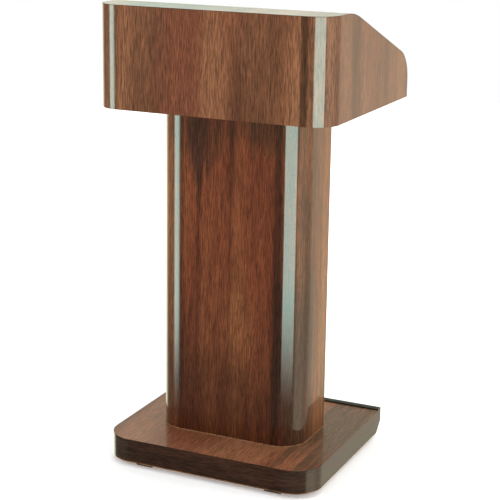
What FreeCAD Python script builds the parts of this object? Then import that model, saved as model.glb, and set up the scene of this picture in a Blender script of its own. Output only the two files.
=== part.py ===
import FreeCAD, Part
import math
import os
from types import SimpleNamespace

import Sketcher
from FreeCAD import Placement, Rotation, Vector

# Presentation lectern: a desk head on a rounded pedestal column on a low plinth base.
# Millimetres, +Z up, origin on the floor under the middle of the whole object.
# -Y is the audience side, +Y the presenter's side, +X is right when looking along +Y.
# Front and sides of each of the three masses are one board bent round two front corners.

# ---------------------------------------------------------------------------
# Driving dimensions: alias, value in millimetres (or degrees), meaning
# ---------------------------------------------------------------------------
DIMENSIONS = (
    ("board", 19, "thickness of the veneered boards"),
    ("skin", 1.2, "thickness of laminate sheets and edge bands"),
    ("board_play", 0.5, "gap at each end of a loose-fitted board"),
    ("nose_ease", 4, "extra corner radius of a board fitted inside a bent wrap"),
    ("overcut", 20, "how far a cutting outline reaches past the solid"),
    ("head_front", -277, "front face of the head"),
    ("head_width", 635, "head, side to side"),
    ("head_depth", 560, "head, front to back"),
    ("head_height", 260, "head, underside to flat top"),
    ("head_corner", 63.5, "outer radius of the head's front corners"),
    ("flat_depth", 147, "front face to the corner where the slope would start"),
    ("desk_slope", 20.3, "slope of the desk, degrees"),
    ("top_blend", 250, "radius between flat top and slope"),
    ("rear_blend", 87, "radius between slope and rear edge"),
    ("top_panel_depth", 122, "flat top panel, front to back"),
    ("floor_setback", 10, "head floor behind the rear edges of the head"),
    ("reading_recess", 20, "reading surface below the sloping side edges"),
    ("reading_board", 16, "thickness of the reading surface"),
    ("reading_start", -14, "upper edge of the reading surface, along the slope"),
    ("reading_length", 372, "reading surface, along the slope"),
    ("stop_height", 42, "book stop, across the slope"),
    ("stop_clear", 2, "top of the book stop below the sloping side edges"),
    ("stop_round", 6, "radius on the upper edges of the book stop"),
    ("cleat_width", 19, "width of the cleats under the reading surface"),
    ("cleat_drop", 25, "height of the cleats under the reading surface"),
    ("cleat_length", 340, "length of the cleats under the reading surface"),
    ("cleat_screw_end", 57, "screws of a reading surface cleat from its ends"),
    ("cleat_pilot", 11, "depth of the cleat screws' holes in the reading surface"),
    ("stop_screw_side", 181, "outer book stop screws from the middle"),
    ("column_front", -158, "front face of the column"),
    ("column_width", 408, "column, side to side"),
    ("column_depth", 188, "column, front to back"),
    ("column_height", 869, "column, deck to head"),
    ("column_corner", 73, "outer radius of the column's front corners"),
    ("column_bolt_side", 130, "column bolts from the middle, sideways"),
    ("column_bolt_inset", 35, "column bolts from the inner faces, front and rear"),
    ("rear_screw_inset", 9.5, "rear panel screws from the edge of the panel"),
    ("rear_screw_end", 60, "first rear panel screw above the deck"),
    ("base_front", -283, "front face of the base"),
    ("base_width", 592, "base, side to side"),
    ("base_depth", 509, "base, front to back"),
    ("base_height", 63.5, "base, underside to deck"),
    ("base_corner", 76, "outer radius of the base's front corners"),
    ("base_lift", 14, "underside of the base above the floor"),
    ("base_relief", 29, "legs of the 45 degree cut under the rear edge"),
    ("batten_size", 30, "square section of the deck battens"),
    ("batten_front", -190, "front end of the deck battens"),
    ("batten_rear", 140, "rear end of the deck battens"),
    ("strip_depth", 19.5, "scuff strip, front to back"),
    ("strip_height", 4, "scuff strip, height"),
    ("strip_round", 1.5, "radius on the upper edges of the scuff strip"),
    ("foot_side", 184, "front feet from the middle, sideways"),
    ("foot_setback", 22, "front feet behind the front of the base"),
    ("foot_top", 58, "foot, length at the top"),
    ("foot_bottom", 46, "foot, length on the floor"),
    ("foot_depth", 38, "foot, front to back"),
    ("foot_round", 2, "radius at the foot's lower ends"),
    ("foot_screw_side", 14, "foot screws from the middle of the foot"),
    ("foot_counterbore", 6, "depth of the recess for a foot screw's head"),
    ("block_width", 72, "block above a foot, side to side"),
    ("block_depth", 50, "block above a foot, front to back"),
    ("wheel_side", 230, "rear wheels from the middle, sideways"),
    ("wheel_back", 186, "rear wheel axles behind the origin"),
    ("wheel_radius", 25, "outer radius of a rear wheel"),
    ("tyre_width", 17, "width of the tyre"),
    ("tyre_round", 3, "radius of the tyre's shoulders"),
    ("rim_radius", 21, "outer radius of the wheel's hub moulding"),
    ("rim_width", 16, "width of the rim"),
    ("rim_wall", 3, "thickness of the rim"),
    ("web_width", 6, "thickness of the web between boss and rim"),
    ("boss_radius", 9, "radius of the hub's boss"),
    ("boss_width", 19, "width of the hub's boss"),
    ("axle_radius", 4, "radius of the axle"),
    ("axle_play", 0.06, "running clearance of the wheel on its axle"),
    ("axle_slip", 0.15, "clearance of the axle in its bracket"),
    ("axle_head_radius", 6.5, "radius of the axle's head"),
    ("axle_head", 2, "thickness of the axle's head"),
    ("axle_tail", 3, "axle beyond the bracket at the clip end"),
    ("groove_radius", 3.2, "radius at the bottom of the axle's groove"),
    ("groove_width", 1, "width of the axle's groove"),
    ("clip_radius", 7, "outer radius of the retaining clip"),
    ("clip_play", 0.05, "clearance of the clip in its groove"),
    ("bracket_metal", 2.5, "sheet thickness of the wheel bracket"),
    ("bracket_gap", 21, "gap between the ears of the wheel bracket"),
    ("bracket_plate", 40, "length of the bracket's top plate"),
    ("ear_half", 16, "half the ear's width at the plate"),
    ("ear_nose", 10, "half the ear's width below the axle"),
    ("ear_drop", 9, "ear below the axle"),
    ("bracket_screw_back", 14, "bracket screws from the axle, front and rear"),
    ("bolt_radius", 3.95, "radius of the column bolts"),
    ("bolt_length", 35, "column bolt under its head"),
    ("bolt_head_radius", 7.5, "half the width across the bolt's corners"),
    ("bolt_head", 5.3, "height of the bolt's head"),
    ("bolt_hole", 4.5, "radius of the clearance hole for a column bolt"),
    ("washer_radius", 12, "outer radius of the bolt's washer"),
    ("washer_thick", 1.6, "thickness of the bolt's washer"),
    ("washer_hole", 4.2, "radius of the washer's hole"),
    ("insert_radius", 6, "outer radius of a threaded insert"),
    ("insert_length", 16, "length of a threaded insert"),
    ("insert_bore", 4, "inner radius of a threaded insert"),
    ("insert_hole", 6.1, "radius of the hole that an insert is driven into"),
    ("screw_radius", 2, "radius of the wood screws"),
    ("screw_hole", 2.2, "radius of the clearance hole for a wood screw"),
    ("pilot_hole", 2.05, "radius of the hole that a wood screw is driven into"),
    ("screw_head_radius", 4, "radius of a wood screw's pan head"),
    ("screw_head", 2.4, "height of a wood screw's pan head"),
    ("screw_dome", 1.2, "radius on the edge of a pan head"),
    ("screw_tip", 3, "length of a wood screw's point"),
    ("short_screw", 16, "length of the wheel bracket screws"),
    ("long_screw", 30, "length of the other wood screws"),
    ("head_recess_radius", 5, "radius of a recess for a wood screw's head"),
)

doc = FreeCAD.newDocument("lectern")
sheet = doc.addObject("Spreadsheet::Sheet", "Sizes")
for row, (alias, value, meaning) in enumerate(DIMENSIONS, start=1):
    sheet.set(f"A{row}", meaning)
    sheet.set(f"B{row}", str(value))
    sheet.setAlias(f"B{row}", alias)
doc.recompute()


class Size:
    """A number and the sheet expression that gives it."""

    def __init__(self, value, text):
        self.value = value
        self.text = text

    def __neg__(self):
        return Size(-self.value, f"(-{self.text})")

    def __add__(self, other):
        other = as_size(other)
        return Size(self.value + other.value, f"({self.text} + {other.text})")

    def __sub__(self, other):
        other = as_size(other)
        return Size(self.value - other.value, f"({self.text} - {other.text})")

    def __mul__(self, other):
        other = as_size(other)
        return Size(self.value * other.value, f"({self.text} * {other.text})")

    def __truediv__(self, other):
        other = as_size(other)
        return Size(self.value / other.value, f"({self.text} / {other.text})")


def as_size(thing):
    """A plain number as a Size."""
    return thing if isinstance(thing, Size) else Size(float(thing), repr(float(thing)))


def sine(angle):
    return Size(math.sin(math.radians(angle.value)), f"sin({angle.text} * 1deg)")


def cosine(angle):
    return Size(math.cos(math.radians(angle.value)), f"cos({angle.text} * 1deg)")


def tangent(angle):
    return Size(math.tan(math.radians(angle.value)), f"tan({angle.text} * 1deg)")


def bind(thing, path, size):
    """Tie a property of a document object to the sheet."""
    thing.setExpression(path, as_size(size).text)


dim = SimpleNamespace(**{alias: Size(value, f"Sizes.{alias}") for alias, value, _ in DIMENSIONS})
ZERO = as_size(0)

# Levels and faces that several pieces share
base_top = dim.base_lift + dim.base_height
deck_top = base_top - dim.skin
deck_bottom = deck_top - dim.board
base_rear = dim.base_front + dim.base_depth
rail_front = base_rear - dim.board
head_bottom = base_top + dim.column_height
head_top = head_bottom + dim.head_height
head_rear = dim.head_front + dim.head_depth
head_inside = dim.head_width / 2 - dim.board
column_rear = dim.column_front + dim.column_depth
column_inside = dim.column_width / 2 - dim.board
column_bay_front = dim.column_front + dim.board
column_bay_rear = column_rear - dim.board
base_inside = dim.base_width / 2 - dim.board
base_bay_front = dim.base_front + dim.board
slope_start = dim.head_front + dim.flat_depth
panel_rear = dim.head_front + dim.top_panel_depth
reading_top = -dim.reading_recess
reading_bottom = reading_top - dim.reading_board
reading_end = dim.reading_start + dim.reading_length

# ---------------------------------------------------------------------------
# Sketches and features
# ---------------------------------------------------------------------------
REAR_SCREWS_A_SIDE = 4
BOLT_HEAD_SIDES = 6

# A sketch on XZ_Plane looks along +Y, so its own normal is -Y.
NORMAL_SIGN = {"XY_Plane": 1, "XZ_Plane": -1, "YZ_Plane": 1}
START, END, CENTRE = 1, 2, 3
ORIGIN = (-1, 1)

nodes = []


def new_body(label):
    """An empty body that becomes one node."""
    body = doc.addObject("PartDesign::Body", label)
    body.Label = label
    nodes.append(body)
    return body


def new_sketch(body, plane, start):
    """A sketch on one of the body's own planes, moved to start along the positive axis."""
    sketch = body.newObject("Sketcher::SketchObject", "Sketch")
    support = next(item for item in body.Origin.OriginFeatures if item.Role == plane)
    sketch.AttachmentSupport = [(support, "")]
    sketch.MapMode = "FlatFace"
    bind(sketch, "AttachmentOffset.Base.z", as_size(start) * NORMAL_SIGN[plane])
    return sketch


def fix(sketch, kind, *where, size):
    """Add a dimension to the sketch and tie it to the sheet."""
    size = as_size(size)
    index = sketch.addConstraint(Sketcher.Constraint(kind, *where, size.value))
    name = f"{kind.lower()}_{index}"
    sketch.renameConstraint(index, name)
    bind(sketch, f"Constraints.{name}", size)


def corner_arc(before, corner, after, radius):
    """The arc that rounds a corner, and whether it runs with the outline."""
    inward = (before - corner).normalize()
    outward = (after - corner).normalize()
    half = inward.getAngle(outward) / 2
    reach = radius / math.tan(half)
    first = corner + inward * reach
    last = corner + outward * reach
    middle = corner + (inward + outward).normalize() * (radius / math.sin(half))
    with_outline = (corner - before).cross(after - corner).z > 0
    ends = [first - middle, last - middle]
    if not with_outline:
        ends.reverse()
    angles = [math.atan2(end.y, end.x) for end in ends]
    circle = Part.Circle(middle, Vector(0, 0, 1), radius)
    return Part.ArcOfCircle(circle, *angles), first, last, with_outline


def draw_outline(sketch, corners):
    """Closed outline of straight runs; a corner is (across, up) or (across, up, radius)."""
    count = len(corners)
    points = [Vector(as_size(c[0]).value, as_size(c[1]).value, 0) for c in corners]
    arrivals, departures, arcs = list(points), list(points), {}
    for i, corner in enumerate(corners):
        if len(corner) == 3:
            radius = as_size(corner[2]).value
            arc, arrivals[i], departures[i], with_outline = corner_arc(
                points[i - 1], points[i], points[(i + 1) % count], radius)
            arcs[i] = (sketch.addGeometry(arc, False), with_outline)
    runs = [
        sketch.addGeometry(Part.LineSegment(departures[i], arrivals[(i + 1) % count]), False)
        for i in range(count)
    ]
    for i, corner in enumerate(corners):
        run_in, run_out = runs[i - 1], runs[i]
        if i in arcs:
            arc, with_outline = arcs[i]
            entry, leave = (START, END) if with_outline else (END, START)
            sketch.addConstraint(Sketcher.Constraint("Tangent", run_in, END, arc, entry))
            sketch.addConstraint(Sketcher.Constraint("Tangent", arc, leave, run_out, START))
            fix(sketch, "Radius", arc, size=corner[2])
            mark = sketch.addGeometry(Part.Point(points[i]), True)
            sketch.addConstraint(Sketcher.Constraint("PointOnObject", mark, START, run_in))
            sketch.addConstraint(Sketcher.Constraint("PointOnObject", mark, START, run_out))
        else:
            mark = run_out
            sketch.addConstraint(Sketcher.Constraint("Coincident", run_in, END, run_out, START))
        fix(sketch, "DistanceX", *ORIGIN, mark, START, size=corner[0])
        fix(sketch, "DistanceY", *ORIGIN, mark, START, size=corner[1])


def draw_circles(sketch, centres, radius):
    for across, up in centres:
        middle = Vector(as_size(across).value, as_size(up).value, 0)
        circle = Part.Circle(middle, Vector(0, 0, 1), as_size(radius).value)
        index = sketch.addGeometry(circle, False)
        fix(sketch, "Radius", index, size=radius)
        fix(sketch, "DistanceX", *ORIGIN, index, CENTRE, size=across)
        fix(sketch, "DistanceY", *ORIGIN, index, CENTRE, size=up)


def pad(body, plane, start, length, corners):
    """Extrude an outline from start along the positive axis."""
    sketch = new_sketch(body, plane, start)
    draw_outline(sketch, corners)
    feature = body.newObject("PartDesign::Pad", "Pad")
    feature.Profile = sketch
    feature.Reversed = NORMAL_SIGN[plane] < 0
    bind(feature, "Length", length)
    return feature


def pocket(body, plane, start, length, draw, *outline):
    """Cut from start along the positive axis; draw fills the sketch."""
    doc.recompute()
    before = body.Shape.Volume
    sketch = new_sketch(body, plane, start)
    draw(sketch, *outline)
    feature = body.newObject("PartDesign::Pocket", "Pocket")
    feature.Profile = sketch
    feature.Reversed = NORMAL_SIGN[plane] > 0
    bind(feature, "Length", length)
    doc.recompute()
    if not body.Shape.Volume < before:
        raise RuntimeError(f"{body.Label}: a pocket cuts nothing")
    return feature


def cut(body, plane, start, length, corners):
    return pocket(body, plane, start, length, draw_outline, corners)


def drill(body, plane, start, length, centres, radius):
    return pocket(body, plane, start, length, draw_circles, centres, radius)


def turn(body, corners):
    """Solid of revolution about the body's Z axis; a corner is (radius, height)."""
    sketch = new_sketch(body, "XZ_Plane", ZERO)
    draw_outline(sketch, corners)
    feature = body.newObject("PartDesign::Revolution", "Revolution")
    feature.Profile = sketch
    feature.ReferenceAxis = (sketch, ["V_Axis"])
    feature.Angle = 360
    return feature


def place(thing, x, y, z, axis=Vector(0, 0, 1), angle=0):
    """Put an object at a place tied to the sheet; angle is in degrees."""
    thing.Placement = Placement(Vector(0, 0, 0), Rotation(axis, as_size(angle).value))
    for letter, size in zip("xyz", (x, y, z)):
        bind(thing, f"Placement.Base.{letter}", size)
    if isinstance(angle, Size):
        bind(thing, "Placement.Rotation.Angle", angle)


def rectangle(left, right, low, high):
    return [(left, low), (right, low), (right, high), (left, high)]


def nosed(half, front, rear, radius):
    """Rectangle with its two front corners rounded."""
    return [(half, rear), (-half, rear), (-half, front, radius), (half, front, radius)]


def wrap_outline(half, front, rear, radius):
    """One board bent round two front corners and open at the rear."""
    inner = radius - dim.board
    inside = half - dim.board
    return [
        (-half, rear),
        (-half, front, radius),
        (half, front, radius),
        (half, rear),
        (inside, rear),
        (inside, front + dim.board, inner),
        (-inside, front + dim.board, inner),
        (-inside, rear),
    ]


def fitted(half, front, rear, wrap_radius):
    """Board that fits inside a wrap, its corners just clear of the bend."""
    return nosed(half, front, rear, wrap_radius - dim.board + dim.nose_ease)


def board(label, x, y, z):
    """A plain rectangular board; x, y and z are (low, high)."""
    body = new_body(label)
    pad(body, "XY_Plane", z[0], z[1] - z[0], rectangle(x[0], x[1], y[0], y[1]))
    return body


def sides():
    """Left and right, with the sign of X."""
    return (("left", -1), ("right", 1))


def between(sign, near, far):
    """(low, high) of a stretch near..far from the middle on one side."""
    return (near, far) if sign > 0 else (-far, -near)


# ---------------------------------------------------------------------------
# Head: the desk
# ---------------------------------------------------------------------------
def profile_corners(inset):
    """The two rounded corners of the desk's side profile, moved inwards by inset."""
    half_slope = dim.desk_slope / 2
    half_rear = (as_size(90) - dim.desk_slope) / 2
    rear_corner = head_top - (head_rear - slope_start) * tangent(dim.desk_slope)
    upper = (slope_start - inset * tangent(half_slope), head_top - inset, dim.top_blend - inset)
    lower = (head_rear - inset, rear_corner - inset * tangent(half_rear), dim.rear_blend - inset)
    return upper, lower


def cut_to_profile(body):
    """Take away what stands above the desk's side profile, less the skin that covers it."""
    upper, lower = profile_corners(dim.skin)
    above = head_top + dim.overcut
    below = head_bottom - dim.overcut
    ahead = dim.head_front - dim.overcut
    behind = head_rear + dim.overcut
    corners = [
        (ahead, above),
        (ahead, head_top - dim.skin),
        upper,
        lower,
        (head_rear - dim.skin, below),
        (behind, below),
        (behind, above),
    ]
    reach = dim.head_width / 2 + dim.overcut
    cut(body, "YZ_Plane", -reach, reach * 2, corners)


def skin_band(body, start, width):
    """The skin that follows the whole desk profile, from front to rear edge."""
    upper, lower = profile_corners(ZERO)
    inner_upper, inner_lower = profile_corners(dim.skin)
    corners = [
        (dim.head_front, head_top),
        (dim.head_front, head_top - dim.skin),
        inner_upper,
        inner_lower,
        (head_rear - dim.skin, head_bottom),
        (head_rear, head_bottom),
        lower,
        upper,
    ]
    pad(body, "YZ_Plane", start, width, corners)


def desk_point(along, above):
    """World Y and Z of a point given along the slope and above the sloping side edges."""
    slope = dim.desk_slope
    y = slope_start + along * cosine(slope) + above * sine(slope)
    z = head_top - along * sine(slope) + above * cosine(slope)
    return y, z


def place_on_desk(body):
    """Local Y then runs down the slope and local Z stands square to it."""
    place(body, ZERO, slope_start, head_top, Vector(-1, 0, 0), dim.desk_slope)


def make_head_shell():
    wrap = new_body("head_wrap")
    outline = wrap_outline(dim.head_width / 2, dim.head_front, head_rear, dim.head_corner)
    pad(wrap, "XY_Plane", head_bottom, dim.head_height, outline)
    cut_to_profile(wrap)

    inner_front = dim.head_front + dim.board
    panel = new_body("head_top_panel")
    outline = fitted(head_inside, inner_front, panel_rear, dim.head_corner)
    pad(panel, "XY_Plane", head_top - dim.skin - dim.board, dim.board, outline)
    cut_to_profile(panel)

    floor = new_body("head_floor")
    outline = fitted(head_inside, inner_front, head_rear - dim.floor_setback, dim.head_corner)
    pad(floor, "XY_Plane", head_bottom, dim.board, outline)
    drill(floor, "XY_Plane", head_bottom, dim.board, column_bolt_centres(), dim.bolt_hole)


def make_head_skins():
    laminate = new_body("head_top_laminate")
    skin_band(laminate, -dim.head_width / 2, dim.head_width)
    reach = dim.head_width / 2 + dim.overcut
    behind = rectangle(panel_rear, head_rear + dim.overcut, head_bottom - dim.overcut,
                       head_top + dim.overcut)
    cut(laminate, "YZ_Plane", -reach, reach * 2, behind)
    half, front = dim.head_width / 2, dim.head_front
    round_the_nose = [
        (-half - dim.overcut, panel_rear),
        (-half - dim.overcut, front - dim.overcut),
        (half + dim.overcut, front - dim.overcut),
        (half + dim.overcut, panel_rear),
        (half, panel_rear),
        (half, front, dim.head_corner),
        (-half, front, dim.head_corner),
        (-half, panel_rear),
    ]
    cut(laminate, "XY_Plane", head_bottom, dim.head_height + dim.overcut, round_the_nose)

    for side, sign in sides():
        band = new_body(f"head_edge_band_{side}")
        low, high = between(sign, head_inside, dim.head_width / 2)
        skin_band(band, low, high - low)
        ahead = rectangle(dim.head_front - dim.overcut, panel_rear, head_bottom, head_top + dim.overcut)
        cut(band, "YZ_Plane", low - dim.overcut, high - low + dim.overcut * 2, ahead)


def cleat_screw_places():
    """Along the slope, for the screws that hold the reading surface."""
    return (dim.cleat_screw_end, dim.cleat_length - dim.cleat_screw_end)


def stop_screw_sides():
    return (-dim.stop_screw_side, ZERO, dim.stop_screw_side)


def make_desk():
    half = head_inside - dim.board_play
    cleat_middle = head_inside - dim.cleat_width / 2
    stop_screw_height = reading_bottom + dim.reading_board / 2

    surface = new_body("reading_surface")
    outline = rectangle(-half, half, dim.reading_start, reading_end)
    pad(surface, "XY_Plane", reading_bottom, dim.reading_board, outline)
    cleat_pilots = [(cleat_middle * sign, y) for _, sign in sides() for y in cleat_screw_places()]
    drill(surface, "XY_Plane", reading_bottom, dim.cleat_pilot, cleat_pilots, dim.pilot_hole)
    stop_pilots = [(x, stop_screw_height) for x in stop_screw_sides()]
    stop_pilot_depth = dim.long_screw - dim.board
    drill(surface, "XZ_Plane", reading_end - stop_pilot_depth, stop_pilot_depth, stop_pilots,
          dim.pilot_hole)
    place_on_desk(surface)

    stop = new_body("book_stop")
    stop_top = -dim.stop_clear
    stop_low = stop_top - dim.stop_height
    section = [
        (reading_end, stop_low),
        (reading_end + dim.board, stop_low),
        (reading_end + dim.board, stop_top, dim.stop_round),
        (reading_end, stop_top, dim.stop_round),
    ]
    pad(stop, "YZ_Plane", -half, half * 2, section)
    drill(stop, "XZ_Plane", reading_end, dim.board, stop_pilots, dim.screw_hole)
    place_on_desk(stop)

    for side, sign in sides():
        cleat = board(f"reading_cleat_{side}", between(sign, head_inside - dim.cleat_width, head_inside),
                      (ZERO, dim.cleat_length), (reading_bottom - dim.cleat_drop, reading_bottom))
        holes = [(cleat_middle * sign, y) for y in cleat_screw_places()]
        drill(cleat, "XY_Plane", reading_bottom - dim.cleat_drop, dim.cleat_drop, holes, dim.screw_hole)
        place_on_desk(cleat)


# ---------------------------------------------------------------------------
# Column
# ---------------------------------------------------------------------------
def column_bolt_centres():
    x = dim.column_bolt_side
    front = column_bay_front + dim.column_bolt_inset
    rear = column_bay_rear - dim.column_bolt_inset
    return [(-x, front), (x, front), (-x, rear), (x, rear)]


def rear_screw_places():
    """(x, z) of the screws that hold the column's rear panel."""
    x = column_inside - dim.rear_screw_inset
    lowest = base_top + dim.rear_screw_end
    pitch = (dim.column_height - dim.rear_screw_end * 2) / (REAR_SCREWS_A_SIDE - 1)
    return [(x * sign, lowest + pitch * step)
            for _, sign in sides() for step in range(REAR_SCREWS_A_SIDE)]


def make_column():
    wrap = new_body("column_wrap")
    outline = wrap_outline(dim.column_width / 2, dim.column_front, column_rear, dim.column_corner)
    pad(wrap, "XY_Plane", base_top, dim.column_height, outline)

    for label, low in (("column_top_plate", head_bottom - dim.board), ("column_bottom_plate", base_top)):
        plate = new_body(label)
        outline = fitted(column_inside, column_bay_front, column_bay_rear, dim.column_corner)
        pad(plate, "XY_Plane", low, dim.board, outline)
        drill(plate, "XY_Plane", low, dim.board, column_bolt_centres(), dim.insert_hole)

    panel = board("column_rear_panel", (-column_inside, column_inside),
                  (column_bay_rear, column_rear), (base_top, head_bottom))
    drill(panel, "XZ_Plane", column_bay_rear, dim.board, rear_screw_places(), dim.screw_hole)

    pilot_depth = dim.long_screw - dim.board
    for side, sign in sides():
        cleat = board(f"column_cleat_{side}", between(sign, column_inside - dim.board, column_inside),
                      (column_bay_rear - dim.board, column_bay_rear),
                      (base_top + dim.board, head_bottom - dim.board))
        pilots = [(x, z) for x, z in rear_screw_places() if x.value * sign > 0]
        drill(cleat, "XZ_Plane", column_bay_rear - pilot_depth, pilot_depth, pilots, dim.pilot_hole)


# ---------------------------------------------------------------------------
# Base
# ---------------------------------------------------------------------------
def bracket_screw_centres(sign):
    return [(dim.wheel_side * sign, dim.wheel_back + dim.bracket_screw_back * step) for step in (-1, 1)]


def foot_screw_centres(sign):
    y = dim.base_front + dim.foot_setback + dim.foot_depth / 2
    return [(dim.foot_side * sign + dim.foot_screw_side * step, y) for step in (-1, 1)]


def make_base():
    apron = new_body("base_apron")
    outline = wrap_outline(dim.base_width / 2, dim.base_front, base_rear, dim.base_corner)
    pad(apron, "XY_Plane", dim.base_lift, dim.base_height - dim.skin, outline)
    reach = dim.base_width / 2 + dim.overcut
    under_rear = [
        (base_rear - dim.base_relief - dim.overcut, dim.base_lift - dim.overcut),
        (base_rear + dim.overcut, dim.base_lift - dim.overcut),
        (base_rear + dim.overcut, dim.base_lift + dim.base_relief + dim.overcut),
    ]
    cut(apron, "YZ_Plane", -reach, reach * 2, under_rear)

    deck = new_body("base_deck")
    outline = fitted(base_inside, base_bay_front, rail_front, dim.base_corner)
    pad(deck, "XY_Plane", deck_bottom, dim.board, outline)
    drill(deck, "XY_Plane", deck_bottom, dim.board, column_bolt_centres(), dim.bolt_hole)
    pilots = bracket_screw_centres(-1) + bracket_screw_centres(1)
    drill(deck, "XY_Plane", deck_bottom, dim.short_screw - dim.bracket_metal, pilots, dim.pilot_hole)

    laminate = new_body("base_top_laminate")
    outline = nosed(dim.base_width / 2, dim.base_front, base_rear, dim.base_corner)
    pad(laminate, "XY_Plane", deck_top, dim.skin, outline)
    drill(laminate, "XY_Plane", deck_top, dim.skin, column_bolt_centres(), dim.bolt_hole)

    board("base_rear_rail", (-base_inside, base_inside), (rail_front, base_rear),
          (dim.base_lift + dim.base_relief, deck_top))

    strip = new_body("scuff_strip")
    section = [
        (base_rear - dim.strip_depth, base_top),
        (base_rear, base_top),
        (base_rear, base_top + dim.strip_height, dim.strip_round),
        (base_rear - dim.strip_depth, base_top + dim.strip_height, dim.strip_round),
    ]
    pad(strip, "YZ_Plane", -dim.base_width / 2, dim.base_width, section)

    block_half = dim.block_width / 2
    for side, sign in sides():
        board(f"base_batten_{side}", between(sign, base_inside - dim.batten_size, base_inside),
              (dim.batten_front, dim.batten_rear), (deck_bottom - dim.batten_size, deck_bottom))
        block = board(f"foot_block_{side}",
                      between(sign, dim.foot_side - block_half, dim.foot_side + block_half),
                      (base_bay_front, base_bay_front + dim.block_depth), (dim.base_lift, deck_bottom))
        depth = dim.long_screw - (dim.base_lift - dim.foot_counterbore)
        drill(block, "XY_Plane", dim.base_lift, depth, foot_screw_centres(sign), dim.pilot_hole)


def make_foot(side, sign):
    foot = new_body(f"front_foot_{side}")
    outline = [
        (-dim.foot_top / 2, dim.base_lift),
        (-dim.foot_bottom / 2, ZERO, dim.foot_round),
        (dim.foot_bottom / 2, ZERO, dim.foot_round),
        (dim.foot_top / 2, dim.base_lift),
    ]
    pad(foot, "XZ_Plane", ZERO, dim.foot_depth, outline)
    holes = [(dim.foot_screw_side * step, dim.foot_depth / 2) for step in (-1, 1)]
    drill(foot, "XY_Plane", ZERO, dim.base_lift, holes, dim.screw_hole)
    drill(foot, "XY_Plane", ZERO, dim.foot_counterbore, holes, dim.head_recess_radius)
    place(foot, dim.foot_side * sign, dim.base_front + dim.foot_setback, ZERO)


# ---------------------------------------------------------------------------
# Rear wheels
# ---------------------------------------------------------------------------
def place_at_wheel(body, sign, axis=Vector(0, 0, 1), angle=0):
    place(body, dim.wheel_side * sign, dim.wheel_back, dim.wheel_radius, axis, angle)


def make_bracket(side, sign):
    """Folded plate: two ears that hang from a plate under the deck."""
    bracket = new_body(f"wheel_bracket_{side}")
    top = deck_bottom - dim.wheel_radius
    under_plate = top - dim.bracket_metal
    inside = dim.bracket_gap / 2
    outside = inside + dim.bracket_metal
    ear = [
        (-dim.ear_half, top),
        (-dim.ear_nose, -dim.ear_drop, dim.ear_drop),
        (dim.ear_nose, -dim.ear_drop, dim.ear_drop),
        (dim.ear_half, top),
    ]
    pad(bracket, "YZ_Plane", -outside, outside * 2, ear)
    gap = rectangle(-dim.bracket_plate, dim.bracket_plate, -dim.wheel_radius, under_plate)
    cut(bracket, "YZ_Plane", -inside, inside * 2, gap)
    plate = rectangle(-outside, outside, -dim.bracket_plate / 2, dim.bracket_plate / 2)
    pad(bracket, "XY_Plane", under_plate, dim.bracket_metal, plate)
    axle_hole = dim.axle_radius + dim.axle_slip
    drill(bracket, "YZ_Plane", -outside, outside * 2, [(ZERO, ZERO)], axle_hole)
    screws = [(ZERO, dim.bracket_screw_back * step) for step in (-1, 1)]
    drill(bracket, "XY_Plane", under_plate, dim.bracket_metal, screws, dim.screw_hole)
    place_at_wheel(bracket, sign)


def make_axle(side, sign):
    """Headed pin and its clip; their own Z axis points away from the middle of the base."""
    face = dim.bracket_gap / 2 + dim.bracket_metal
    head_face = -face - dim.clip_play
    groove = face + dim.clip_play
    tail = face + dim.axle_tail
    axle = new_body(f"wheel_axle_{side}")
    turn(axle, [
        (ZERO, head_face - dim.axle_head),
        (dim.axle_head_radius, head_face - dim.axle_head),
        (dim.axle_head_radius, head_face),
        (dim.axle_radius, head_face),
        (dim.axle_radius, groove),
        (dim.groove_radius, groove),
        (dim.groove_radius, groove + dim.groove_width),
        (dim.axle_radius, groove + dim.groove_width),
        (dim.axle_radius, tail),
        (ZERO, tail),
    ])
    clip = new_body(f"axle_clip_{side}")
    inner = dim.groove_radius + dim.clip_play
    low = groove + dim.clip_play
    high = groove + dim.groove_width - dim.clip_play
    turn(clip, [(inner, low), (dim.clip_radius, low), (dim.clip_radius, high), (inner, high)])
    for body in (axle, clip):
        place_at_wheel(body, sign, Vector(0, 1, 0), 90 * sign)


def make_wheel(side, sign):
    bore = dim.axle_radius + dim.axle_play
    boss, web, rim = dim.boss_width / 2, dim.web_width / 2, dim.rim_width / 2
    rim_inside = dim.rim_radius - dim.rim_wall
    hub = new_body(f"wheel_hub_{side}")
    turn(hub, [
        (bore, -boss),
        (dim.boss_radius, -boss),
        (dim.boss_radius, -web),
        (rim_inside, -web),
        (rim_inside, -rim),
        (dim.rim_radius, -rim),
        (dim.rim_radius, rim),
        (rim_inside, rim),
        (rim_inside, web),
        (dim.boss_radius, web),
        (dim.boss_radius, boss),
        (bore, boss),
    ])
    tyre = new_body(f"wheel_tyre_{side}")
    half = dim.tyre_width / 2
    turn(tyre, [
        (dim.rim_radius, -half),
        (dim.wheel_radius, -half, dim.tyre_round),
        (dim.wheel_radius, half, dim.tyre_round),
        (dim.rim_radius, half),
    ])
    for body in (hub, tyre):
        place_at_wheel(body, sign, Vector(0, 1, 0), 90 * sign)


# ---------------------------------------------------------------------------
# Fasteners: one pattern of each kind, linked to every place it is used
# ---------------------------------------------------------------------------
UP = (Vector(1, 0, 0), 0)
DOWN = (Vector(1, 0, 0), 180)
TO_FRONT = (Vector(1, 0, 0), 90)


def new_pattern(name):
    """A body that is only linked from groups, so it is no node itself."""
    return doc.addObject("PartDesign::Body", name)


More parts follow.
